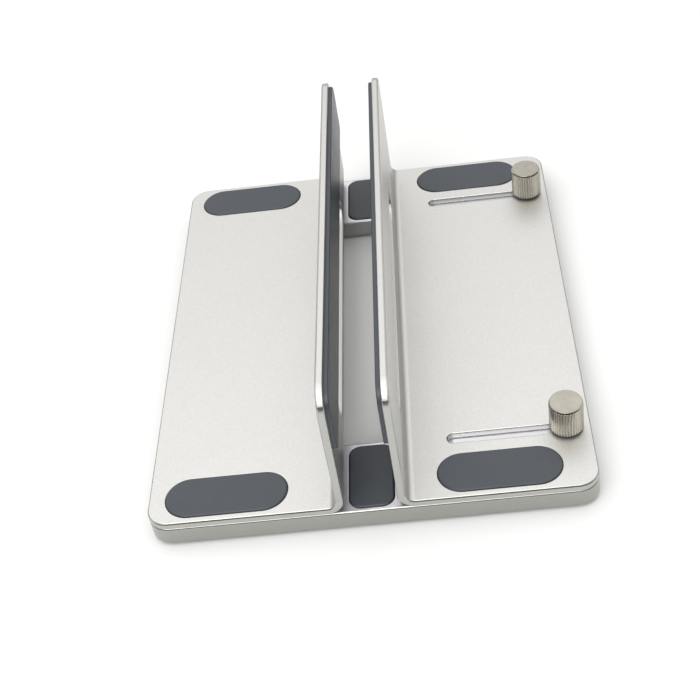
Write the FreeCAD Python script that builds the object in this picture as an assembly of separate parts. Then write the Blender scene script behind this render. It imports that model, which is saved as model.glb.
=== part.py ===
import FreeCAD, Part
import math
import os

from FreeCAD import Placement, Rotation, Vector

# Vertical laptop stand: a windowed base plate carries one fixed and one sliding folded bracket,
# and the laptop stands on edge in the gap between their lined walls.
# Millimetres, +Z up. The origin is on the desk under the middle of the base plate,
# +X points from the fixed bracket to the sliding one, and -Y is the front.

# Base plate
BASE_WIDTH = 145.0
BASE_DEPTH = 180.0
BASE_THICK = 7.0
CORNER_R = 7.0
BASE_EDGE = 0.6
RAIL_WIDTH = 30.0
CROSSBAR_DEPTH = 29.5
WINDOW_R = 6.0

# Folded sheet of both brackets
SHEET = 2.5
BEND_R = 3.0
WALL_RISE = 48.0
WALL_CORNER_R = 8.0
SHEET_EDGE = 0.45
NARROWEST_GAP = 17.0
TRAVEL = 37.0

# Long slot in each wall
WALL_SLOT_LENGTH = 116.0
WALL_SLOT_HEIGHT = 15.0
WALL_SLOT_RISE = 3.8

# Silicone liner on the laptop side of each wall
LINER_THICK = 1.5
LINER_INSET = 1.5
LINER_RISE = 24.0
LINER_LOW_R = 3.0
SOFT_EDGE = 0.35

# Silicone pads let into the flanges and the crossbars
PAD_LENGTH = 40.0
PAD_WIDTH = 16.2
PAD_FROM_END = 10.3
FIXED_PAD_FROM_SIDE = 25.6
SLIDING_PAD_FROM_SIDE = 31.1
PAD_PROUD = 0.5
PAD_RECESS = 0.7
CROSS_PAD_WIDTH = 14.5
CROSS_PAD_MARGIN = 1.5
CROSS_PAD_R = 4.0
PAD_CLEAR = 0.1

# Feet stuck to the underside
FOOT_LENGTH = 28.0
FOOT_WIDTH = 10.0
FOOT_FROM_END = 10.0
FOOT_FROM_SIDE = 22.0
FOOT_THICK = 1.5

# Knurled thumb screws, which clamp the sliding flange through its adjusting slots
KNOB_D = 11.2
KNOB_HEIGHT = 11.0
KNOB_FOOT = 0.3
KNOB_CHAMFER = 0.4
KNOB_RIM_STEP = 0.3
KNURL_COUNT = 36
KNURL_DEPTH = 0.3
KNURL_SHOULDER = 0.05
SHANK_D = 4.0
SHANK_TIP_INSET = 0.8
SHANK_CLEAR = 0.05
SLOT_CLEAR = 0.1
SCREW_FROM_SIDE = 8.0
SCREW_FROM_END = 25.5
WASHER_D = 10.4
WASHER_THICK = 0.8

# Low-head cap screws in counterbores, which hold the fixed flange from below
FIXING_D = 3.0
FIXING_HEAD_D = 5.5
FIXING_HEAD_HEIGHT = 2.0
FIXING_SUNK = 0.5
FIXING_CLEAR = 0.05
FIXING_SKIN = 0.5
FIXING_GAP = 0.5
FIXING_SOCKET_AF = 2.0
FIXING_SOCKET_DEPTH = 1.2
FIXING_FROM_END = 22.5
FIXING_OUTER_FROM_SIDE = 12.0
FIXING_INNER_FROM_GAP = 12.0

# Levels and places that follow from the sizes above
BASE_LOW = FOOT_THICK
BASE_TOP = BASE_LOW + BASE_THICK
FLANGE_TOP = BASE_TOP + SHEET
WALL_TOP = FLANGE_TOP + WALL_RISE
SIDE_X = BASE_WIDTH / 2
END_Y = BASE_DEPTH / 2
BRACKET_WIDTH = (BASE_WIDTH - NARROWEST_GAP) / 2
GAP_X = NARROWEST_GAP / 2
BEND_OUTER_R = BEND_R + SHEET
SCREW_X = SIDE_X - SCREW_FROM_SIDE
SCREW_Y = END_Y - SCREW_FROM_END
ENDS = {"front": -1, "rear": 1}
SIDES = {"left": -1, "right": 1}

# An edge is sharp where its two faces' normals differ by more than this
SHARP_TURN = math.radians(45)

# The quarters of a plate's outline: which way the corner lies, and where its arc starts
QUADRANTS = ((1, 1, 0), (-1, 1, 90), (-1, -1, 180), (1, -1, 270))

# Turns a plate drawn flat in X and Y so that it stands in Y and Z and grows along X
UPRIGHT = Rotation(Vector(1, 1, 1), 120)


def arc_about(centre, radius, start_angle, end_angle):
    """A round stretch of an outline from one angle in degrees to the other."""
    points = []
    for angle in (start_angle, (start_angle + end_angle) / 2, end_angle):
        turn = math.radians(angle)
        points.append(centre + Vector(radius * math.cos(turn), radius * math.sin(turn), 0))
    return Part.Arc(*points).toShape()


def rounded_plate(width, depth, thick, radii):
    """A plate centred on X and Y that stands on z = 0. The radii are those of its corners,
    anticlockwise from the one at +X, +Y."""
    arcs = []
    for (side, end, angle), radius in zip(QUADRANTS, radii):
        centre = Vector(side * (width / 2 - radius), end * (depth / 2 - radius), 0)
        arcs.append(arc_about(centre, radius, angle, angle + 90))
    edges = list(arcs)
    for arc, following in zip(arcs, arcs[1:] + arcs[:1]):
        start = arc.Vertexes[-1].Point
        stop = following.Vertexes[0].Point
        if start.distanceToPoint(stop) > Part.Precision.confusion():
            edges.append(Part.makeLine(start, stop))
    outline = Part.Wire(Part.__sortEdges__(edges))
    return Part.Face(outline).extrude(Vector(0, 0, thick))


def stadium_plate(length, width, thick):
    """A plate with full round ends, long along X, standing on z = 0."""
    return rounded_plate(length, width, thick, [min(length, width) / 2] * 4)


def moved(shape, x, y, z):
    """The shape shifted from the origin."""
    return shape.translated(Vector(x, y, z))


def sharp_edges(shape):
    """Every outside edge where the surface turns by more than SHARP_TURN. A point a small step
    from such an edge, along one face's normal and against the other's, is outside."""
    step = SHEET_EDGE / 20
    found = []
    for edge in shape.Edges:
        faces = shape.ancestorsOfType(edge, Part.Face)
        if len(faces) != 2:
            continue
        middle = edge.valueAt((edge.FirstParameter + edge.LastParameter) / 2)
        normals = [face.normalAt(*face.Surface.parameter(middle)) for face in faces]
        if normals[0].getAngle(normals[1]) < SHARP_TURN:
            continue
        across = (normals[0] - normals[1]).normalize() * step
        if not shape.isInside(middle + across, step / 10, True):
            found.append(edge)
    return found


def softened(shape, width):
    """The shape with each of its outside edges broken by a small chamfer."""
    return shape.makeChamfer(width, sharp_edges(shape))


def turned(profile):
    """A solid turned about Z from (radius, height) points."""
    points = [Vector(radius, 0, height) for radius, height in profile]
    face = Part.Face(Part.makePolygon(points + points[:1]))
    return face.revolve(Vector(0, 0, 0), Vector(0, 0, 1), 360)


def base_frame():
    """Milled plate: window, two pad recesses, two threaded holes and four counterbored ones."""
    plate = rounded_plate(BASE_WIDTH, BASE_DEPTH, BASE_THICK, [CORNER_R] * 4)
    frame = moved(softened(plate, BASE_EDGE), 0, 0, BASE_LOW)
    window_width = BASE_WIDTH - 2 * RAIL_WIDTH
    window_depth = BASE_DEPTH - 2 * CROSSBAR_DEPTH
    window = rounded_plate(window_width, window_depth, BASE_THICK, [WINDOW_R] * 4)
    cuts = [moved(window, 0, 0, BASE_LOW)]
    for end in ENDS.values():
        pad_recess = crossbar_pad_blank(PAD_CLEAR)
        cuts.append(moved(pad_recess, 0, end * crossbar_y(), BASE_TOP - PAD_RECESS))
        threaded_hole = Part.makeCylinder(SHANK_D / 2 + SHANK_CLEAR, BASE_THICK)
        cuts.append(moved(threaded_hole, SCREW_X, end * SCREW_Y, BASE_LOW))
    for x, y in fixing_places().values():
        cuts.append(moved(fixing_hole(), x, y, BASE_LOW))
    return frame.cut(Part.makeCompound(cuts))


def crossbar_y():
    """Distance of a crossbar's middle from the stand's middle."""
    return END_Y - CROSSBAR_DEPTH / 2


def crossbar_pad_blank(clear):
    """Plan of a crossbar pad, or of its recess with a clearance all round, as a tall plate."""
    depth = CROSSBAR_DEPTH - 2 * CROSS_PAD_MARGIN
    return rounded_plate(
        CROSS_PAD_WIDTH + 2 * clear,
        depth + 2 * clear,
        PAD_RECESS + PAD_PROUD,
        [CROSS_PAD_R + clear] * 4,
    )


def folded_sheet():
    """The fixed bracket's sheet after folding: flange towards -X, wall up at the gap's edge."""
    flange_x = -SIDE_X
    wall_x = -GAP_X
    bend_x = wall_x - BEND_OUTER_R
    bend_z = BASE_TOP + BEND_OUTER_R
    slant = math.sqrt(0.5)

    def bend(radius):
        start = Vector(bend_x, 0, bend_z - radius)
        middle = Vector(bend_x + radius * slant, 0, bend_z - radius * slant)
        stop = Vector(bend_x + radius, 0, bend_z)
        return Part.Arc(start, middle, stop).toShape()

    outside = bend(BEND_OUTER_R)
    inside = bend(BEND_R)
    corners = [
        inside.Vertexes[0].Point,
        Vector(flange_x, 0, FLANGE_TOP),
        Vector(flange_x, 0, BASE_TOP),
        outside.Vertexes[0].Point,
    ]
    tips = [
        outside.Vertexes[-1].Point,
        Vector(wall_x, 0, WALL_TOP),
        Vector(wall_x - SHEET, 0, WALL_TOP),
        inside.Vertexes[-1].Point,
    ]
    edges = [outside, inside]
    for run in (corners, tips):
        edges += [Part.makeLine(a, b) for a, b in zip(run, run[1:])]
    section = Part.Face(Part.Wire(Part.__sortEdges__(edges)))
    sheet = moved(section, 0, -END_Y, 0).extrude(Vector(0, BASE_DEPTH, 0))

    sheet = sheet.makeFillet(CORNER_R, end_edges(sheet, "x", flange_x))
    return sheet.makeFillet(WALL_CORNER_R, end_edges(sheet, "z", WALL_TOP))


def end_edges(shape, axis, value):
    """The edges across the sheet's thickness at its front and rear ends, at one x or one z."""
    near = SHEET / 4
    return [
        edge
        for edge in shape.Edges
        if abs(getattr(edge.CenterOfMass, axis) - value) < near
        and abs(abs(edge.CenterOfMass.y) - END_Y) < near
    ]


def wall_slot():
    """Cutter for the long slot, which starts just above the fold."""
    cutter = stadium_plate(WALL_SLOT_LENGTH, WALL_SLOT_HEIGHT, BRACKET_WIDTH)
    cutter.Placement = Placement(
        Vector(-SIDE_X, 0, FLANGE_TOP + WALL_SLOT_RISE + WALL_SLOT_HEIGHT / 2), UPRIGHT
    )
    return cutter


def flange_pad_recesses(from_side):
    """Cutters for the two pad recesses in the fixed flange's top."""
    cuts = []
    for end in ENDS.values():
        recess = stadium_plate(
            PAD_LENGTH + 2 * PAD_CLEAR, PAD_WIDTH + 2 * PAD_CLEAR, PAD_RECESS + SHEET
        )
        place_y = end * (END_Y - PAD_FROM_END)
        cuts.append(moved(recess, from_side - SIDE_X, place_y, FLANGE_TOP - PAD_RECESS))
    return cuts


def mirrored(shape):
    """The same shape on the other side of the gap."""
    return shape.mirror(Vector(0, 0, 0), Vector(1, 0, 0))


def fixed_bracket():
    """Folded sheet with its wall slot, pad recesses and four blind screw holes underneath."""
    sheet = softened(folded_sheet().cut(wall_slot()), SHEET_EDGE)
    cuts = flange_pad_recesses(FIXED_PAD_FROM_SIDE)
    for x, y in fixing_places().values():
        hole = Part.makeCylinder(FIXING_D / 2 + FIXING_CLEAR, SHEET - FIXING_SKIN)
        cuts.append(moved(hole, x, y, BASE_TOP))
    return sheet.cut(Part.makeCompound(cuts))


def sliding_bracket():
    """The mirrored sheet, with an adjusting slot for each thumb screw."""
    sheet = softened(folded_sheet().cut(wall_slot()), SHEET_EDGE)
    width = SHANK_D + 2 * SLOT_CLEAR
    cuts = flange_pad_recesses(SLIDING_PAD_FROM_SIDE)
    for end in ENDS.values():
        slot = stadium_plate(TRAVEL + width, width, SHEET)
        cuts.append(moved(slot, TRAVEL / 2 - SCREW_X, end * SCREW_Y, BASE_TOP))
    return mirrored(sheet.cut(Part.makeCompound(cuts)))


def wall_liner():
    """Silicone sheet on the fixed wall's gap face, with the wall's own rounding at the top."""
    low = FLANGE_TOP + LINER_RISE
    high = WALL_TOP - LINER_INSET
    top_r = WALL_CORNER_R - LINER_INSET
    length = BASE_DEPTH - 2 * LINER_INSET
    liner = rounded_plate(
        length, high - low, LINER_THICK, [top_r, top_r, LINER_LOW_R, LINER_LOW_R]
    )
    face_edges = [edge for edge in sharp_edges(liner) if edge.BoundBox.ZMin > LINER_THICK / 2]
    liner = liner.makeChamfer(SOFT_EDGE, face_edges)
    liner.Placement = Placement(Vector(-GAP_X, 0, (low + high) / 2), UPRIGHT)
    return liner


def flange_pad(from_side, end):
    """A stadium pad in the fixed flange, at the front (-1) or the rear (1)."""
    pad = stadium_plate(PAD_LENGTH, PAD_WIDTH, PAD_RECESS + PAD_PROUD)
    place_y = end * (END_Y - PAD_FROM_END)
    return moved(pad, from_side - SIDE_X, place_y, FLANGE_TOP - PAD_RECESS)


def crossbar_pad(end):
    """The pad that the laptop's lower edge stands on."""
    return moved(crossbar_pad_blank(0), 0, end * crossbar_y(), BASE_TOP - PAD_RECESS)


def foot(side, end):
    """A stadium foot, from the desk up to the plate's underside."""
    pad = stadium_plate(FOOT_LENGTH, FOOT_WIDTH, FOOT_THICK)
    return moved(pad, side * (SIDE_X - FOOT_FROM_SIDE), end * (END_Y - FOOT_FROM_END), 0)


def thumb_screw():
    """Turned in one piece about Z: a knurled knob with a plain foot and a chamfered top rim,
    and a threaded shank drawn at its outer diameter. z = 0 is the knob's underside."""
    knob_r = KNOB_D / 2
    shank_r = SHANK_D / 2
    groove_r = knob_r - KNURL_DEPTH
    shoulder_r = groove_r - KNURL_SHOULDER
    rim_r = shoulder_r - KNOB_RIM_STEP
    tip = BASE_LOW + SHANK_TIP_INSET - FLANGE_TOP - WASHER_THICK
    lower = turned(
        [
            (0, tip),
            (shank_r, tip),
            (shank_r, 0),
            (shoulder_r, 0),
            (shoulder_r, KNOB_FOOT),
            (0, KNOB_FOOT),
        ]
    )
    upper = turned(
        [
            (0, KNOB_HEIGHT - KNOB_CHAMFER),
            (shoulder_r, KNOB_HEIGHT - KNOB_CHAMFER),
            (rim_r, KNOB_HEIGHT),
            (0, KNOB_HEIGHT),
        ]
    )
    points = []
    for index in range(2 * KNURL_COUNT):
        radius = groove_r if index % 2 else knob_r
        turn = math.pi * index / KNURL_COUNT
        points.append(Vector(radius * math.cos(turn), radius * math.sin(turn), KNOB_FOOT))
    star = Part.Face(Part.makePolygon(points + points[:1]))
    knurled = star.extrude(Vector(0, 0, KNOB_HEIGHT - KNOB_CHAMFER - KNOB_FOOT))
    return lower.fuse([knurled, upper])


def thumb_washer():
    """Dark ring that the knob presses on the flange."""
    outer = WASHER_D / 2
    inner = SHANK_D / 2 + SHANK_CLEAR
    return turned([(inner, 0), (outer, 0), (outer, WASHER_THICK), (inner, WASHER_THICK)])


def fixing_places():
    """Where each cap screw stands under the fixed flange."""
    xs = {
        "outer": FIXING_OUTER_FROM_SIDE - SIDE_X,
        "inner": -GAP_X - FIXING_INNER_FROM_GAP,
    }
    places = {}
    for end_name, end in ENDS.items():
        for x_name, x in xs.items():
            places[f"{end_name}_{x_name}"] = (x, end * (END_Y - FIXING_FROM_END))
    return places


def fixing_hole():
    """Cutter for a counterbored through hole whose mouth is at z = 0."""
    hole_r = FIXING_D / 2 + FIXING_CLEAR
    mouth_r = FIXING_HEAD_D / 2 + FIXING_CLEAR
    seat = FIXING_SUNK + FIXING_HEAD_HEIGHT
    return turned(
        [
            (0, 0),
            (mouth_r, 0),
            (mouth_r, seat),
            (hole_r, seat),
            (hole_r, BASE_THICK),
            (0, BASE_THICK),
        ]
    )


def fixing_screw():
    """Low-head cap screw, head down, on the same axis as its hole."""
    shank_r = FIXING_D / 2
    head_r = FIXING_HEAD_D / 2
    seat = FIXING_SUNK + FIXING_HEAD_HEIGHT
    tip = BASE_THICK + SHEET - FIXING_SKIN - FIXING_GAP
    screw = turned(
        [
            (0, FIXING_SUNK),
            (head_r, FIXING_SUNK),
            (head_r, seat),
            (shank_r, seat),
            (shank_r, tip),
            (0, tip),
        ]
    )
    corner_r = FIXING_SOCKET_AF / math.sqrt(3)
    corners = [
        Vector(corner_r * math.cos(turn), corner_r * math.sin(turn), FIXING_SUNK)
        for turn in (math.pi / 3 * index for index in range(7))
    ]
    socket = Part.Face(Part.makePolygon(corners)).extrude(Vector(0, 0, FIXING_SOCKET_DEPTH))
    return screw.cut(socket)


def all_nodes():
    """Every piece by its name, in place with the stand at its narrowest."""
    nodes = {
        "base_frame": base_frame(),
        "fixed_bracket": fixed_bracket(),
        "sliding_bracket": sliding_bracket(),
        "fixed_wall_liner": wall_liner(),
        "sliding_wall_liner": mirrored(wall_liner()),
    }
    for end_name, end in ENDS.items():
        nodes[f"fixed_flange_pad_{end_name}"] = flange_pad(FIXED_PAD_FROM_SIDE, end)
        nodes[f"sliding_flange_pad_{end_name}"] = mirrored(flange_pad(SLIDING_PAD_FROM_SIDE, end))
        nodes[f"crossbar_pad_{end_name}"] = crossbar_pad(end)
        for side_name, side in SIDES.items():
            nodes[f"foot_{end_name}_{side_name}"] = foot(side, end)
        at_screw = (SCREW_X, end * SCREW_Y)
        nodes[f"{end_name}_thumb_washer"] = moved(thumb_washer(), *at_screw, FLANGE_TOP)
        nodes[f"{end_name}_thumb_screw"] = moved(
            thumb_screw(), *at_screw, FLANGE_TOP + WASHER_THICK
        )
    for place_name, (x, y) in fixing_places().items():
        nodes[f"bracket_screw_{place_name}"] = moved(fixing_screw(), x, y, BASE_LOW)
    return nodes


os.makedirs("parts", exist_ok=True)
for name, shape in all_nodes().items():
    solid = shape.Solids[0] if len(shape.Solids) == 1 else shape
    solid.exportStep(f"parts/{name}.step")
    print(f"{name}: {len(shape.Solids)} solid, {solid.Volume:.1f} mm3, valid {solid.isValid()}")
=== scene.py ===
import math

import bpy
import numpy as np
from mathutils.geometry import delaunay_2d_cdt
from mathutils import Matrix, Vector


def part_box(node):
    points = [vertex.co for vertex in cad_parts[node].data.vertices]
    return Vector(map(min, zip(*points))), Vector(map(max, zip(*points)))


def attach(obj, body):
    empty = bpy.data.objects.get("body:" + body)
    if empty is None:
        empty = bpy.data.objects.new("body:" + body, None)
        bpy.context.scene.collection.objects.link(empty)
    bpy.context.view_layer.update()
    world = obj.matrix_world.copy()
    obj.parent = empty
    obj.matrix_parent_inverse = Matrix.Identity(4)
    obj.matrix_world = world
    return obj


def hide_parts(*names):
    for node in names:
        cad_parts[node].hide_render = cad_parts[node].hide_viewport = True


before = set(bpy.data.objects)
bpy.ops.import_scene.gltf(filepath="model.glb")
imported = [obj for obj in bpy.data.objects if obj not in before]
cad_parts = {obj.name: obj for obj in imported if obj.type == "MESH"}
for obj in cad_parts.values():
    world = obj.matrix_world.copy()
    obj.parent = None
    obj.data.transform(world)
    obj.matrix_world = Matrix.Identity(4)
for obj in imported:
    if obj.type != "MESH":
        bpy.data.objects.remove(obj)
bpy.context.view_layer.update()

# Sizes in millimetres, in the frame of the CAD model: +X towards the sliding bracket, -Y to the
# front, +Z up from the desk. Names in _X, _Y and _Z are distances from the origin, and names
# in _R are radii
MM_PER_M = 1000
SIDE_X = 72.5
END_Y = 90.0

# Base plate with its window, the recesses of its pads and its holes
BASE_LOW = 1.5
BASE_TOP = 8.5
CORNER_R = 7.0
PLATE_TOP_R = 1.0
PLATE_EDGE_R = 0.6
WINDOW_X = 42.5
WINDOW_Y = 60.5
WINDOW_CORNER_R = 6.0
CROSSBAR_PAD_Y = 75.25
CROSSBAR_RECESS_HALF = (7.35, 13.35)
CROSSBAR_RECESS_R = 4.1
SCREW_X = 64.5
SCREW_Y = 64.5
SCREW_HOLE_R = 2.05
THREAD_LEAD_R = 0.25
CAP_SCREWS_X = (-60.5, -20.5)
CAP_SCREW_Y = 67.5
CAP_HOLE_R = 1.55
CAP_HOLE_RIM_R = 0.1
COUNTERBORE_DEPTH = 2.5
COUNTERBORE_STEP = 1.25
COUNTERBORE_RIM_R = 0.2

# Brackets. A distance in _SIDE is measured on the flange from its free end
SHEET = 2.5
SHEET_TOP_R = 0.45
SHEET_CHAMFER = 0.35
SHEET_EDGE_R = 0.45
CHAMFER_LEAN = 30
GAP_X = 8.5
FOLD_R = 5.5
FOLD_STEPS = 14
FOLD_ARC = (FOLD_R - SHEET / 2) * math.pi / 2
FLANGE_FLAT = SIDE_X - GAP_X - FOLD_R
WALL_TOP = 59.0
WALL_FLAT = WALL_TOP - BASE_TOP - FOLD_R
WALL_CORNER_R = 8.0
WALL_SLOT_Y = 58.0
WALL_SLOT_Z = 22.3
WALL_SLOT_R = 7.5
RECESS_DEPTH = 0.7
RECESS_EDGE_R = 0.2
PAD_Y = 79.7
PAD_RECESS = (40.2, 16.4)
FIXED_PAD_SIDE = 25.6
SLIDING_PAD_SIDE = 31.1
ADJUSTING_SLOT_SIDE = 26.5
ADJUSTING_SLOT = (41.2, 4.2)

# Pads, feet and wall liners
FLANGE_PAD_R = 8.1
CROSSBAR_PAD_R = 4.0
PAD_EDGE_R = 0.6
FOOT_R = 5.0
FOOT_EDGE_R = 0.35
LINER_Y = 88.5
LINER_LOW_Z = 35.0
LINER_TOP_Z = 57.5
LINER_LOW_R = 3.0
LINER_TOP_R = 6.5
LINER_THICKNESS = 1.5
LINER_BACK_R = 0.1
LINER_EDGE_R = 0.4

# Thumb screws, with levels from the knob's underside, and their washers
KNOB_R = 5.6
KNOB_HEIGHT = 11.0
KNOB_RIM = 0.75
KNOB_SIDE_LEVELS = (0.5, 10.2)
KNOB_SIDE_ROWS = 12
KNURLS = 36
STEPS_PER_KNURL = 8
KNURL_DEPTH = 0.48
KNURL_LOW = 0.3
KNURL_LOW_FADE = 0.2
KNURL_HIGH = 10.34
KNURL_HIGH_FADE = 0.12
KNURLED_DOWN_TO_R = KNOB_R - 0.2
RING_LEVEL = KNOB_HEIGHT - 0.03
RING_HEIGHT = 0.012
RING_PITCH = 0.55
RING_INNER_R = 0.3
RING_ROWS = 70
SHANK_R = 1.98
SHANK_STEPS = 48
SHANK_LEVELS = (-8.6, 0.3)
SHANK_ROWS = 90
THREAD_PITCH = 0.7
THREAD_DEPTH = 0.2
THREAD_LOW = -9.3
THREAD_FADE = 0.7
WASHER_R = 5.2
WASHER_HEIGHT = 0.8
WASHER_EDGE_R = 0.15
WASHER_HOLE_EDGE_R = 0.1

# How close levels, points of an outline and points of a skin have to be to count as one
SAME_LEVEL = 1e-6
SAME_POINT = 1e-4
SAME_IN_SKIN = 1e-7
NO_LENGTH = 1e-12

# Faces of a plate belong to a skin where the Z of their normal is SKIN_FACING or more. The other
# faces are the cut edges, which get a darker colour as painted shade. The X of a cut face's normal
# is up to ANY_FACING, or up to TRIMMED_TOP where the wall's top edge, which faces along X in the
# blank and up in the bracket, is left out of that painted shade and keeps the sheet's own finish
SKIN_FACING = 0.97
ANY_FACING = 1.1
TRIMMED_TOP = 0.5

# Light. The sky's strength goes from SKY_LOW to SKY_HIGH as a direction's Z goes from SKY_DARK
# to SKY_FULL, and grows by SKY_GAIN towards SKY_TOWARDS. A dark card low in front leaves
# CARD_LEFT of it and draws crisp lines on the rounded edges. A soft lamp stands high in front.
# Places and sizes are in metres
SKY_LOW = 0.06
SKY_HIGH = 1.84
SKY_DARK = 0.18
SKY_FULL = 0.755
SKY_TOWARDS = (-0.25, 0.1, -0.6)
SKY_GAIN = 0.4
CARD = (-0.16, -0.95, 0.26)
CARD_FULL = math.cos(math.radians(8))
CARD_FREE = math.cos(math.radians(36))
CARD_LEFT = 0.15
LAMP_PLACE = (-0.22, -0.74, 0.93)
LAMP_AIM = (0, 0, 0.02)
LAMP_SIZE = 0.9
LAMP_POWER = 6.5
FLOOR_REACH = 20.0

# Camera, with its place in metres and its turn in degrees
CAMERA_PLACE = (0.03581, -0.36367, 0.32855)
CAMERA_TURN = (47.725, 6.735, -1.267)
CAMERA_LENS = 68.29
CAMERA_SHIFT = (-0.05, -0.021)


def arc(spread, level, radius, start, stop, steps=5):
    """A round stretch of an edge as rows of (spread, level, lean): each point is
    (spread, level) + radius * (cos lean, sin lean), and lean goes evenly from start to stop in
    degrees. A negative radius makes the arc hollow."""
    lean = np.radians(np.linspace(start, stop, steps + 1))
    return np.stack([spread + radius * np.cos(lean), level + radius * np.sin(lean), lean], axis=1)


def outer_edge(low_radius, top_radius, high, facet=0.0):
    """Rounded edge of a plate, from its underside at level 0 up to its top at level high. The
    top rounding has a flat stretch as long as facet, where it leans by CHAMFER_LEAN."""
    inward = facet * math.sin(math.radians(CHAMFER_LEAN))
    upward = facet * math.cos(math.radians(CHAMFER_LEAN))
    level = high - top_radius
    low_arc = arc(-low_radius, low_radius, low_radius, -90, 0)
    below = arc(-top_radius, level - upward, top_radius, 0, CHAMFER_LEAN, 2)
    above = arc(-top_radius - inward, level, top_radius, CHAMFER_LEAN, 90, 4)
    return np.concatenate([low_arc, below, above if facet else above[1:]])


def through_edge(radius, high):
    """Wall of a hole with both rims rounded, from the top down to the underside."""
    top_arc = arc(radius, high - radius, radius, 90, 180)
    return np.concatenate([top_arc, arc(radius, radius, radius, 180, 270)])


def recess_edge(radius, high, depth):
    """Wall of a recess in the top: a rounded rim, then a hollow arc into the floor."""
    rim_arc = arc(radius, high - radius, radius, 90, 180)
    return np.concatenate([rim_arc, arc(-radius, high - depth + radius, -radius, 180, 90)])


def counterbore_edge(high):
    """Wall of a hole for a low-head screw, from the top down: narrow, then from
    COUNTERBORE_DEPTH over the underside as wide as the head."""
    inward, down = math.pi, 1.5 * math.pi
    step, depth = COUNTERBORE_STEP, COUNTERBORE_DEPTH
    narrow = arc(CAP_HOLE_RIM_R, high - CAP_HOLE_RIM_R, CAP_HOLE_RIM_R, 90, 180, 2)
    seat = [[0, depth, inward], [0, depth, down], [step, depth, down], [step, depth, inward]]
    rim = arc(step + COUNTERBORE_RIM_R, COUNTERBORE_RIM_R, COUNTERBORE_RIM_R, 180, 270, 3)
    return np.concatenate([narrow, seat, rim])


def rounded_outline(low, high, radii, stations=(), steps=14):
    """Outline of a rounded rectangle, anticlockwise from its +X side, as points and outward
    directions. Each corner is centre + radius * (cos turn, sin turn) over a quarter turn, and
    stations are values of x where both long sides get a point too. Also gives the pairs of
    those points. Where two corners meet, as in a round end, their common point is kept once,
    so an outline with stations needs a straight stretch between its corners."""
    signs = np.array([[1, 1], [-1, 1], [-1, -1], [1, -1]])
    low, high = np.array(low, float), np.array(high, float)
    turns = np.radians(np.linspace(0, 90, steps + 1)[None] + np.array([[0], [90], [180], [270]]))
    outward = np.stack([np.cos(turns), np.sin(turns)], axis=2)
    radii = np.array(radii, float)[:, None]
    centres = (low + high) / 2 + signs * ((high - low) / 2 - radii)
    corners = centres[:, None] + radii[:, None] * outward
    stations = np.array(stations, float)
    count = len(stations)
    upper = np.stack([stations[::-1], np.full(count, high[1])], axis=1)
    lower = np.stack([stations, np.full(count, low[1])], axis=1)
    points = np.concatenate([corners[0], upper, corners[1], corners[2], lower, corners[3]])
    up, down = np.tile([[0.0, 1.0]], (count, 1)), np.tile([[0.0, -1.0]], (count, 1))
    facing = np.concatenate([outward[0], up, outward[1], outward[2], down, outward[3]])
    first_upper = steps + 1
    first_lower = 3 * (steps + 1) + count
    numbers = np.arange(count)
    pairs = np.stack([first_upper + count - 1 - numbers, first_lower + numbers], axis=1)
    apart = np.linalg.norm(points - np.roll(points, 1, axis=0), axis=1) > SAME_POINT
    return points[apart], facing[apart], pairs


def stadium(x, y, length, width):
    """Outline with full round ends, long along X."""
    half = np.array([length, width]) / 2
    centre = np.array([x, y])
    return rounded_outline(centre - half, centre + half, [min(half)] * 4)


def circle(x, y, radius):
    """Round outline."""
    return stadium(x, y, 2 * radius, 2 * radius)


def rings(outline, edge):
    """Points and normals where an edge runs round an outline: the outline is moved along its
    outward direction by spread to its level, and the normal leans from outward to up by lean."""
    points, outward = outline[:2]
    spread, level, lean = edge.T[:, :, None, None]
    tall = np.broadcast_to(level, (len(edge), len(points), 1))
    places = np.concatenate([points + spread * outward, tall], axis=2)
    rise = np.broadcast_to(np.sin(lean), tall.shape)
    normals = np.concatenate([np.cos(lean) * outward, rise], axis=2)
    return places, normals


def band_faces(ring_count, around, first):
    """Four-sided faces between neighbouring rings, each ring closed on itself."""
    numbers = first + np.arange(ring_count * around).reshape(ring_count, around)
    beside = np.roll(numbers, -1, axis=1)
    sides = (numbers[:-1], beside[:-1], beside[1:], numbers[1:])
    return np.stack(sides, axis=2).reshape(-1, 4)


def filled(places, loops, pairs):
    """Triangles that fill the area between loops of point numbers, in plan. A triangle stays
    where a line from its middle crosses the loops an odd number of times."""
    numbers = np.concatenate(loops)
    flat = places[numbers, :2]
    order = {number: index for index, number in enumerate(numbers.tolist())}
    edges = []
    first = 0
    for loop in loops:
        own = np.arange(first, first + len(loop))
        edges += np.stack([own, np.roll(own, -1)], axis=1).tolist()
        first += len(loop)
    edges += [[order[a], order[b]] for a, b in pairs]
    inside_only = 1
    result = delaunay_2d_cdt(flat.tolist(), edges, [], inside_only, SAME_IN_SKIN, True)
    corners, sources = result[2:4]
    origin = np.array([came_from[0] for came_from in sources])
    triangles = origin[np.array(corners)]
    middle = flat[triangles].mean(axis=1)
    crossings = np.zeros(len(triangles), int)
    for start, stop in edges[: len(numbers)]:
        (x1, y1), (x2, y2) = flat[start], flat[stop]
        if y1 == y2:
            continue
        straddles = (y1 > middle[:, 1]) != (y2 > middle[:, 1])
        reached = x1 + (middle[:, 1] - y1) * (x2 - x1) / (y2 - y1)
        crossings += straddles & (middle[:, 0] < reached)
    return numbers[triangles[crossings % 2 == 1]]


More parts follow.
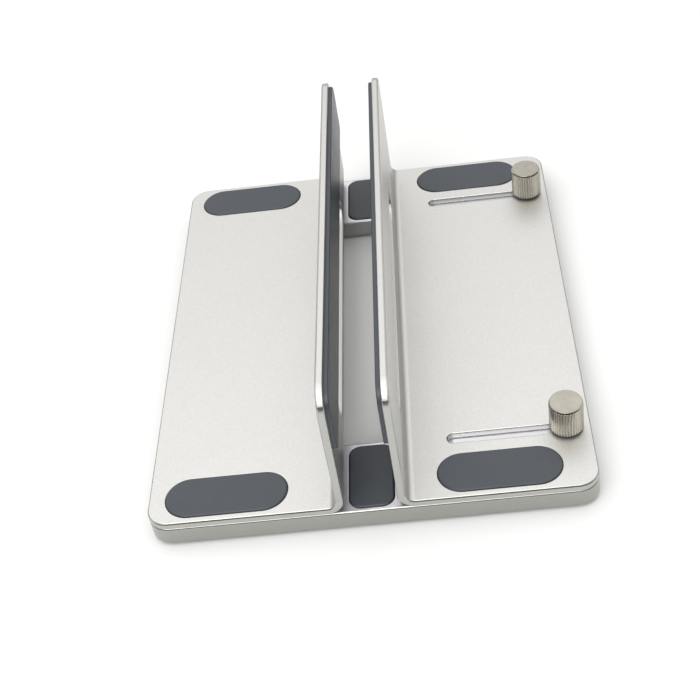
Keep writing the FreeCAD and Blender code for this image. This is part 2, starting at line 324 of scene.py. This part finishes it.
def plate_surface(outline, edge, openings=()):
    """A closed plate: its edge round its outline, each opening's edge round its own outline,
    and flat skins. A ring at the top or the bottom level borders a skin there, and any other
    end of an opening gets a floor of its own."""
    low, high = edge[0, 1], edge[-1, 1]
    places, normals, faces = [], [], []
    top, bottom, floors = [], [], []
    first = 0
    for run_outline, run_edge in [(outline, edge)] + list(openings):
        run_places, run_normals = rings(run_outline, run_edge)
        count, around = run_places.shape[:2]
        places.append(run_places.reshape(-1, 3))
        normals.append(run_normals.reshape(-1, 3))
        faces += band_faces(count, around, first).tolist()
        for row in (0, count - 1):
            ring = first + row * around + np.arange(around)
            level = run_edge[row, 1]
            if abs(level - high) < SAME_LEVEL:
                top.append(ring)
            elif abs(level - low) < SAME_LEVEL:
                bottom.append(ring)
            else:
                floors.append(ring)
        first += count * around
    places, normals = np.concatenate(places), np.concatenate(normals)
    for skin in (top, bottom):
        faces += filled(places, skin, outline[2] + min(skin[0])).tolist()
    for ring in floors:
        faces += filled(places, [ring], []).tolist()
    return places, normals, faces


def folded(surface):
    """Rolls a flat blank into the fixed bracket. Up to the fold it lies on the base, in the
    fold it turns by a quarter about a line FOLD_R above the base, and past it it stands up.
    Each point keeps its height over the sheet's underside."""
    places, normals, faces = surface
    along, y, height = places.T
    turn = np.clip((along - FLANGE_FLAT) / FOLD_ARC, 0, 1) * math.pi / 2
    before = np.minimum(along, FLANGE_FLAT)
    past = np.maximum(along - FLANGE_FLAT - FOLD_ARC, 0)
    x = before - SIDE_X + (FOLD_R - height) * np.sin(turn) + past * np.cos(turn)
    z = BASE_TOP + FOLD_R - (FOLD_R - height) * np.cos(turn) + past * np.sin(turn)
    facing_x = normals[:, 0] * np.cos(turn) - normals[:, 2] * np.sin(turn)
    facing_z = normals[:, 0] * np.sin(turn) + normals[:, 2] * np.cos(turn)
    facing = np.stack([facing_x, normals[:, 1], facing_z], axis=1)
    return np.stack([x, y, z], axis=1), facing, faces


def stood_up(surface, x):
    """Stands a plate drawn flat on the plane at x, its top facing +X and its +Y side up."""
    places, normals, faces = surface
    return places[:, [2, 0, 1]] + [x, 0, 0], normals[:, [2, 0, 1]], faces


def mirrored(surface):
    """The same surface on the other side of the gap."""
    places, normals, faces = surface
    return places * [-1, 1, 1], normals * [-1, 1, 1], faces


def moved(surface, x, y, z):
    """The surface shifted."""
    places, normals, faces = surface
    return places + [x, y, z], normals, faces


def four_cornered(faces):
    """Faces as rows of four point numbers, where a triangle gives its last number twice."""
    return np.array([face if len(face) == 4 else face + face[-1:] for face in faces])


def painted_shade_faces(surface, most_along=ANY_FACING):
    """Which faces of a flat plate stand on edge, because their points' normals lie level, and
    face along X by no more than most_along. These faces get the darker colour of painted shade."""
    normals, faces = surface[1:]
    middle = normals[four_cornered(faces)].mean(axis=1)
    return (np.abs(middle[:, 2]) < SKIN_FACING) & (middle[:, 0] < most_along)


def faced_outward(places, normals, faces):
    """Faces in the order that points them along their points' normals. The cross product of a
    face's diagonals, or of a triangle's two sides, gives the way that it points."""
    corners = four_cornered(faces)
    points = places[corners]
    pointing = np.cross(points[:, 2] - points[:, 0], points[:, 3] - points[:, 1])
    agrees = (pointing * normals[corners].sum(axis=1)).sum(axis=1) > 0
    return [face if good else face[::-1] for face, good in zip(faces, agrees)]


def made_piece(name, surface, material, body, nodes, painted_shade_edges=None):
    """Puts a surface in millimetres into a mesh object that rides on a body in a node's place.
    The optional last argument is a second material, whose darker colour paints shade on the cut
    edges, and the faces that have it."""
    places, normals, faces = surface
    mesh = bpy.data.meshes.new(name)
    mesh.from_pydata((places / MM_PER_M).tolist(), [], faced_outward(places, normals, faces))
    mesh.shade_smooth()
    mesh.normals_split_custom_set_from_vertices(normals.tolist())
    mesh.materials.append(material)
    if painted_shade_edges is not None:
        mesh.materials.append(painted_shade_edges[0])
        mesh.polygons.foreach_set("material_index", painted_shade_edges[1].astype(np.int32))
    piece = bpy.data.objects.new(name, mesh)
    bpy.context.scene.collection.objects.link(piece)
    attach(piece, body)
    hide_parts(*nodes)


def turned_surface(profile, around, cut):
    """A surface turned about Z from rows of (radius, level), closed at both ends on the axis.
    cut(turn, level, radius) gives what is taken off the radius."""
    turn = np.arange(around) * 2 * math.pi / around
    radius, level = profile[:, :1], profile[:, 1:]
    radius = radius - cut(turn[None], level, radius)
    tall = np.broadcast_to(level, radius.shape)
    places = np.stack([radius * np.cos(turn), radius * np.sin(turn), tall], axis=2)
    along = np.gradient(places, axis=0)
    across = np.roll(places, -1, axis=1) - np.roll(places, 1, axis=1)
    normals = np.cross(across, along)
    length = np.linalg.norm(normals, axis=2, keepdims=True)
    normals = normals / np.maximum(length, NO_LENGTH)
    faces = band_faces(len(profile), around, 0).tolist()
    places, normals = places.reshape(-1, 3), normals.reshape(-1, 3)
    ends = np.array([[0, 0, profile[0, 1]], [0, 0, profile[-1, 1]]])
    count = len(places)
    last = count - around
    numbers = np.arange(around)
    beside = np.roll(numbers, -1)
    for ring_start, pole in ((0, count), (last, count + 1)):
        fan = np.stack([ring_start + numbers, ring_start + beside, np.full(around, pole)], axis=1)
        faces += fan.tolist()
    normals = np.concatenate([normals, [[0, 0, -1], [0, 0, 1]]])
    return np.concatenate([places, ends]), normals, faces


def linear(code):
    """An sRGB hex colour as linear red, green, blue and alpha."""
    values = np.array([int(code[i : i + 2], 16) for i in (1, 3, 5)]) / 255
    curve = np.where(values <= 0.04045, values / 12.92, ((values + 0.055) / 1.055) ** 2.4)
    return (*curve.tolist(), 1.0)


def add(tree, kind, inputs, **settings):
    """Adds one node. Settings are its own choices, and inputs are values or linked sockets."""
    node = tree.nodes.new(kind)
    for name, value in settings.items():
        setattr(node, name, value)
    for name, value in inputs.items():
        if isinstance(value, bpy.types.NodeSocket):
            tree.links.new(value, node.inputs[name])
        else:
            node.inputs[name].default_value = value
    return node


def noise(tree, grain, detail, roughness):
    """Noise fixed to the piece, whose grains are about grain millimetres apart."""
    inputs = {
        "Vector": add(tree, "ShaderNodeTexCoord", {}).outputs["Object"],
        "Scale": MM_PER_M / grain,
        "Detail": detail,
        "Roughness": roughness,
    }
    return add(tree, "ShaderNodeTexNoise", inputs).outputs["Fac"]


def ranged(tree, value, start, stop, low, high, **settings):
    """Goes from low to high while the value goes from start to stop."""
    inputs = {"Value": value, "From Min": start, "From Max": stop, "To Min": low, "To Max": high}
    return add(tree, "ShaderNodeMapRange", inputs, **settings).outputs["Result"]


def blended(tree, factor, deep, pale):
    """Goes from the deep to the pale colour while the factor goes from 0 to 1."""
    inputs = {"Factor": factor, "A": linear(deep), "B": linear(pale)}
    return add(tree, "ShaderNodeMix", inputs, data_type="RGBA").outputs["Result"]


def bumped(tree, height, strength, distance):
    """The normal tilted by a height."""
    inputs = {"Height": height, "Strength": strength, "Distance": distance}
    return add(tree, "ShaderNodeBump", inputs).outputs["Normal"]


def product(tree, first, second):
    """One value times another."""
    return add(tree, "ShaderNodeMath", {0: first, 1: second}, operation="MULTIPLY").outputs[0]


def dot_product(tree, direction, axis):
    """The dot product of a direction and a fixed axis."""
    inputs = {0: direction, 1: axis}
    return add(tree, "ShaderNodeVectorMath", inputs, operation="DOT_PRODUCT").outputs["Value"]


def new_material(name):
    """An empty material and its node tree."""
    material = bpy.data.materials.new(name)
    material.use_nodes = True
    material.node_tree.nodes.clear()
    return material, material.node_tree


def finish_surface(tree, kind, inputs):
    """Ends a material in one shader."""
    shader = add(tree, kind, inputs)
    add(tree, "ShaderNodeOutputMaterial", {"Surface": shader.outputs["BSDF"]})


def blasted_aluminium(name, pale, deep, roughness, grain, relief):
    """Bead-blasted and clear-anodised aluminium: thousands of shallow dimples scatter the light
    into a broad satin sheen, and the film on their rims gives the fine silver speckle. Real
    dimples are 0.1 to 0.2 mm wide, and are drawn as wide as grain so that they show. relief is
    how strongly they tilt the light."""
    material, tree = new_material(name)
    speckle = noise(tree, grain, detail=2.0, roughness=0.6)
    cloud = noise(tree, grain=28, detail=3.0, roughness=0.5)
    fleck = ranged(tree, speckle, 0.3, 0.7, 0.0, 1.0)
    inputs = {
        "Base Color": blended(tree, fleck, deep, pale),
        "Metallic": 1.0,
        "Roughness": ranged(tree, cloud, 0.0, 1.0, roughness - 0.03, roughness + 0.03),
        "Normal": bumped(tree, speckle, relief, distance=0.00006),
    }
    finish_surface(tree, "ShaderNodeBsdfPrincipled", inputs)
    return material


def matt_moulding(name, pale, deep):
    """Moulded silicone rubber or plastic: the mould's fine matt texture gives a soft grey bloom
    at a low angle over a dark body."""
    material, tree = new_material(name)
    skin = noise(tree, grain=0.45, detail=2.0, roughness=0.55)
    handling = noise(tree, grain=9, detail=3.0, roughness=0.55)
    inputs = {
        "Base Color": blended(tree, handling, deep, pale),
        "Roughness": ranged(tree, handling, 0.0, 1.0, 0.3, 0.42),
        "IOR": 1.5,
        "Normal": bumped(tree, skin, strength=0.25, distance=0.00005),
    }
    finish_surface(tree, "ShaderNodeBsdfPrincipled", inputs)
    return material


def plated_steel(name, pale, deep, roughness):
    """Nickel or zinc plate over turned steel: bright, with a little tarnish. The lathe's rings
    are in the shape of the knob's top."""
    material, tree = new_material(name)
    tarnish = noise(tree, grain=2.2, detail=4.0, roughness=0.6)
    inputs = {
        "Base Color": blended(tree, tarnish, deep, pale),
        "Metallic": 1.0,
        "Roughness": ranged(tree, tarnish, 0.0, 1.0, roughness - 0.05, roughness + 0.08),
        "Normal": bumped(tree, tarnish, strength=0.15, distance=0.0001),
    }
    finish_surface(tree, "ShaderNodeBsdfPrincipled", inputs)
    return material


# The cut and milled edges are smoother than the faces. Their darker colours are painted shade:
# they stand in for the shaded floor in front that the front faces reflect.
sheet_edge_painted_shade = blasted_aluminium(
    "anodised_edge_painted_shade", "#bbbcb7", "#b0b1ac", roughness=0.27, grain=0.3, relief=0.05
)
plate_edge_painted_shade = blasted_aluminium(
    "milled_edge_painted_shade", "#a9aba5", "#9fa19b", roughness=0.24, grain=0.3, relief=0.05
)
sheet_finish = blasted_aluminium(
    "blasted_anodised_sheet", "#dad9d7", "#cecdcb", roughness=0.46, grain=0.4, relief=0.08
)
plate_finish = blasted_aluminium(
    "blasted_anodised_plate", "#dfdde4", "#d3d1d8", roughness=0.32, grain=0.4, relief=0.07
)
pad_finish = matt_moulding("moulded_silicone", "#3e4349", "#34393f")
washer_finish = matt_moulding("moulded_black_washer", "#17181a", "#0f1011")
knob_finish = plated_steel("knurled_nickel", "#b3afa4", "#99958b", roughness=0.15)
screw_finish = plated_steel("zinc_plated_steel", "#b9babb", "#9c9d9f", roughness=0.34)


def soft_pad(node, body, corner_r, edge_r):
    """A moulded pad as large as its CAD node, with rounded edges all round."""
    low, high = (np.array(corner) * MM_PER_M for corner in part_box(node))
    outline = rounded_outline(low[:2], high[:2], [corner_r] * 4)
    surface = plate_surface(outline, outer_edge(edge_r, edge_r, high[2] - low[2]))
    placed = moved(surface, 0, 0, low[2])
    made_piece(node + "_moulded", placed, pad_finish, body, [node])


def base_plate():
    """Milled base: window, two pad recesses, two threaded holes, four counterbored holes."""
    high = BASE_TOP - BASE_LOW
    outline = rounded_outline([-SIDE_X, -END_Y], [SIDE_X, END_Y], [CORNER_R] * 4)
    window = rounded_outline([-WINDOW_X, -WINDOW_Y], [WINDOW_X, WINDOW_Y], [WINDOW_CORNER_R] * 4)
    openings = [(window, through_edge(PLATE_EDGE_R, high))]
    for end in (-1, 1):
        middle = np.array([0, end * CROSSBAR_PAD_Y])
        low, top = middle - CROSSBAR_RECESS_HALF, middle + CROSSBAR_RECESS_HALF
        recess = rounded_outline(low, top, [CROSSBAR_RECESS_R] * 4)
        screw_hole = circle(SCREW_X, end * SCREW_Y, SCREW_HOLE_R)
        openings.append((recess, recess_edge(RECESS_EDGE_R, high, RECESS_DEPTH)))
        openings.append((screw_hole, through_edge(THREAD_LEAD_R, high)))
        for x in CAP_SCREWS_X:
            cap_hole = circle(x, end * CAP_SCREW_Y, CAP_HOLE_R)
            openings.append((cap_hole, counterbore_edge(high)))
    surface = plate_surface(outline, outer_edge(PLATE_EDGE_R, PLATE_TOP_R, high), openings)
    return moved(surface, 0, 0, BASE_LOW)


def bracket_blank(pad_side, slots):
    """Flat blank of a bracket before folding, from the flange's free end to the wall's top,
    with the wall's long slot, two pad recesses in its top and any more through slots."""
    length = FLANGE_FLAT + FOLD_ARC + WALL_FLAT
    stations = FLANGE_FLAT + np.linspace(0, FOLD_ARC, FOLD_STEPS + 1)
    radii = [WALL_CORNER_R, CORNER_R, CORNER_R, WALL_CORNER_R]
    outline = rounded_outline([0, -END_Y], [length, END_Y], radii, stations)
    slot_side = FLANGE_FLAT + FOLD_ARC + WALL_SLOT_Z - BASE_TOP - FOLD_R
    slot_low = [slot_side - WALL_SLOT_R, -WALL_SLOT_Y]
    slot_high = [slot_side + WALL_SLOT_R, WALL_SLOT_Y]
    wall_slot = rounded_outline(slot_low, slot_high, [WALL_SLOT_R] * 4)
    through = through_edge(SHEET_EDGE_R, SHEET)
    openings = [(wall_slot, through)] + [(slot, through) for slot in slots]
    for end in (-1, 1):
        recess = stadium(pad_side, end * PAD_Y, *PAD_RECESS)
        openings.append((recess, recess_edge(RECESS_EDGE_R, SHEET, RECESS_DEPTH)))
    edge = outer_edge(SHEET_EDGE_R, SHEET_TOP_R, SHEET, SHEET_CHAMFER)
    return plate_surface(outline, edge, openings)


def wall_liner():
    """Liner of the fixed wall, drawn flat with Y across and Z up, then stood on the wall."""
    radii = [LINER_TOP_R, LINER_TOP_R, LINER_LOW_R, LINER_LOW_R]
    outline = rounded_outline([-LINER_Y, LINER_LOW_Z], [LINER_Y, LINER_TOP_Z], radii)
    edge = outer_edge(LINER_BACK_R, LINER_EDGE_R, LINER_THICKNESS)
    return stood_up(plate_surface(outline, edge), -GAP_X)


def knurl(turn, level, radius):
    """Depth of the straight grooves, KNURL_DEPTH * (1 - |sin(KNURLS / 2 * turn)|), fading out
    at both ends of the knob's side."""
    groove = 1 - np.abs(np.sin(KNURLS / 2 * turn))
    above = np.clip((level - KNURL_LOW) / KNURL_LOW_FADE, 0, 1)
    below = np.clip((KNURL_HIGH - level) / KNURL_HIGH_FADE, 0, 1)
    return KNURL_DEPTH * groove * above * below * (radius > KNURLED_DOWN_TO_R)


def thread(turn, level, radius):
    """Depth of the triangular thread: 2 * THREAD_DEPTH times the distance to the nearest crest
    in pitches, fading out at the tip."""
    phase = np.mod(level / THREAD_PITCH - turn / (2 * math.pi), 1)
    groove = 2 * THREAD_DEPTH * np.abs(phase - 0.5)
    return groove * np.clip((level - THREAD_LOW) / THREAD_FADE, 0, 1)


def upright(radius, levels, rows):
    """Rows of (radius, level) at one radius, from the first to the last of two levels."""
    return np.stack([np.full(rows, radius), np.linspace(*levels, rows)], axis=1)


def thumb_screw():
    """Knob and threaded shank as two closed turned surfaces. The knob's profile runs from its
    underside out to the side, up over a steep chamfer and the rounded rim, and across the top,
    whose level ripples by the sine of the radius, as the lathe tool leaves it."""
    underside = [[0.5, 0.0], [3.0, 0.0], [4.9, 0.0]]
    low_rim = [[5.1, 0.02], [5.22, 0.1], [5.28, 0.25], [5.56, 0.35]]
    side = upright(KNOB_R, KNOB_SIDE_LEVELS, KNOB_SIDE_ROWS)
    chamfer = [[5.6, 10.3], [5.598, 10.32], [5.58, 10.36], [5.46, 10.6], [5.34, 10.82]]
    rim = [[5.32, 10.86], [5.28, 10.93], [5.22, 10.98], [5.14, 11.0], [4.95, 11.0]]
    across = np.linspace(KNOB_R - KNOB_RIM, RING_INNER_R, RING_ROWS)
    ripple = RING_LEVEL + RING_HEIGHT * np.sin(2 * math.pi * across / RING_PITCH)
    top = np.stack([across, ripple], axis=1)
    tip = [[0.4, -9.5], [1.2, -9.5], [1.5, -9.42], [1.75, -9.15], [1.95, -8.8]]
    knob_profile = np.concatenate([underside, low_rim, side, chamfer, rim, top])
    shank_profile = np.concatenate([tip, upright(SHANK_R, SHANK_LEVELS, SHANK_ROWS)])
    knob = turned_surface(knob_profile, KNURLS * STEPS_PER_KNURL, knurl)
    shank = turned_surface(shank_profile, SHANK_STEPS, thread)
    places = np.concatenate([knob[0], shank[0]])
    normals = np.concatenate([knob[1], shank[1]])
    shift = len(knob[0])
    faces = knob[2] + [[number + shift for number in face] for face in shank[2]]
    return places, normals, faces


def thumb_washer():
    """Flat washer with rounded rims, as an outline plate with one through hole."""
    edge = outer_edge(WASHER_EDGE_R, WASHER_EDGE_R, WASHER_HEIGHT)
    hole = (circle(0, 0, SCREW_HOLE_R), through_edge(WASHER_HOLE_EDGE_R, WASHER_HEIGHT))
    return plate_surface(circle(0, 0, WASHER_R), edge, [hole])


# The cut edges of the plate and of both sheets get the darker colours of painted shade.
plate = base_plate()
made_piece(
    "base_plate",
    plate,
    plate_finish,
    "base",
    ["base_frame"],
    (plate_edge_painted_shade, painted_shade_faces(plate)),
)
fixed_blank = bracket_blank(FIXED_PAD_SIDE, [])
made_piece(
    "fixed_bracket_sheet",
    folded(fixed_blank),
    sheet_finish,
    "base",
    ["fixed_bracket"],
    (sheet_edge_painted_shade, painted_shade_faces(fixed_blank, TRIMMED_TOP)),
)
adjusting_slots = [stadium(ADJUSTING_SLOT_SIDE, end * SCREW_Y, *ADJUSTING_SLOT) for end in (-1, 1)]
sliding_blank = bracket_blank(SLIDING_PAD_SIDE, adjusting_slots)
made_piece(
    "sliding_bracket_sheet",
    mirrored(folded(sliding_blank)),
    sheet_finish,
    "sliding_side",
    ["sliding_bracket"],
    (sheet_edge_painted_shade, painted_shade_faces(sliding_blank, TRIMMED_TOP)),
)
liner = wall_liner()
made_piece("fixed_liner", liner, pad_finish, "base", ["fixed_wall_liner"])
made_piece(
    "sliding_liner",
    mirrored(liner),
    pad_finish,
    "sliding_side",
    ["sliding_wall_liner"],
)
for end_name, end in (("front", -1), ("rear", 1)):
    soft_pad(f"fixed_flange_pad_{end_name}", "base", FLANGE_PAD_R, PAD_EDGE_R)
    soft_pad(f"sliding_flange_pad_{end_name}", "sliding_side", FLANGE_PAD_R, PAD_EDGE_R)
    soft_pad(f"crossbar_pad_{end_name}", "base", CROSSBAR_PAD_R, PAD_EDGE_R)
    soft_pad(f"foot_{end_name}_left", "base", FOOT_R, FOOT_EDGE_R)
    soft_pad(f"foot_{end_name}_right", "base", FOOT_R, FOOT_EDGE_R)
    screw_place = (SCREW_X, end * SCREW_Y)
    made_piece(
        f"{end_name}_washer_ring",
        moved(thumb_washer(), *screw_place, BASE_TOP + SHEET),
        washer_finish,
        f"{end_name}_washer",
        [f"{end_name}_thumb_washer"],
    )
    made_piece(
        f"{end_name}_knurled_screw",
        moved(thumb_screw(), *screw_place, BASE_TOP + SHEET + WASHER_HEIGHT),
        knob_finish,
        f"{end_name}_screw",
        [f"{end_name}_thumb_screw"],
    )
for place_name in ("front_outer", "front_inner", "rear_outer", "rear_inner"):
    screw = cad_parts[f"bracket_screw_{place_name}"]
    if screw.material_slots:
        screw.material_slots[0].material = screw_finish
    else:
        screw.data.materials.append(screw_finish)


def studio_floor():
    """A wide, matt and pale floor, on which the stand's soft shadow falls."""
    material, tree = new_material("pale_floor")
    finish_surface(tree, "ShaderNodeBsdfDiffuse", {"Color": linear("#e4e4e3")})
    mesh = bpy.data.meshes.new("floor")
    reach = FLOOR_REACH
    corners = [(-reach, -reach, 0), (reach, -reach, 0), (reach, reach, 0), (-reach, reach, 0)]
    mesh.from_pydata(corners, [], [(0, 1, 2, 3)])
    mesh.materials.append(material)
    floor = bpy.data.objects.new("floor", mesh)
    bpy.context.scene.collection.objects.link(floor)


def studio_world():
    """Soft light from all round. Its strength is the product of three values: one that rises
    smoothly from SKY_LOW to SKY_HIGH while the direction's Z goes from SKY_DARK to SKY_FULL,
    1 + SKY_GAIN * (direction . SKY_TOWARDS), and one that falls smoothly from 1 to CARD_LEFT
    while direction . CARD goes from CARD_FREE to CARD_FULL."""
    world = bpy.data.worlds.new("soft_studio")
    bpy.context.scene.world = world
    world.use_nodes = True
    tree = world.node_tree
    tree.nodes.clear()
    smooth = {"interpolation_type": "SMOOTHSTEP"}
    direction = add(tree, "ShaderNodeTexCoord", {}).outputs["Generated"]
    height = add(tree, "ShaderNodeSeparateXYZ", {"Vector": direction}).outputs["Z"]
    sky = ranged(tree, height, SKY_DARK, SKY_FULL, SKY_LOW, SKY_HIGH, **smooth)
    towards = dot_product(tree, direction, SKY_TOWARDS)
    growth = add(
        tree,
        "ShaderNodeMath",
        {0: towards, 1: SKY_GAIN, 2: 1.0},
        operation="MULTIPLY_ADD",
    )
    facing_card = dot_product(tree, direction, CARD)
    card = ranged(tree, facing_card, CARD_FREE, CARD_FULL, 1.0, CARD_LEFT, **smooth)
    strength = product(tree, product(tree, sky, growth.outputs[0]), card)
    inputs = {"Color": linear("#fefefd"), "Strength": strength}
    light = add(tree, "ShaderNodeBackground", inputs)
    add(tree, "ShaderNodeOutputWorld", {"Surface": light.outputs["Background"]})


def softbox(name, place, aim, size, power):
    """A square area lamp at a place, turned towards its aim."""
    data = bpy.data.lights.new(name, "AREA")
    data.energy = power
    data.size = size
    lamp = bpy.data.objects.new(name, data)
    lamp.location = place
    direction = np.array(aim) - np.array(place)
    flat = math.hypot(direction[0], direction[1])
    tilt = math.atan2(flat, -direction[2])
    heading = math.atan2(direction[1], direction[0]) - math.pi / 2
    lamp.rotation_euler = (tilt, 0, heading)
    bpy.context.scene.collection.objects.link(lamp)


studio_floor()
studio_world()
softbox("front_softbox", LAMP_PLACE, LAMP_AIM, LAMP_SIZE, LAMP_POWER)

camera_data = bpy.data.cameras.new("photo_camera")
camera_data.sensor_width = 36
camera_data.lens = CAMERA_LENS
camera_data.shift_x, camera_data.shift_y = CAMERA_SHIFT
camera_data.clip_start = 0.01
camera_data.clip_end = 100
camera = bpy.data.objects.new("photo_camera", camera_data)
camera.location = CAMERA_PLACE
camera.rotation_euler = tuple(math.radians(angle) for angle in CAMERA_TURN)
bpy.context.scene.collection.objects.link(camera)
bpy.context.scene.camera = camera
bpy.context.scene.view_settings.view_transform = "Standard"
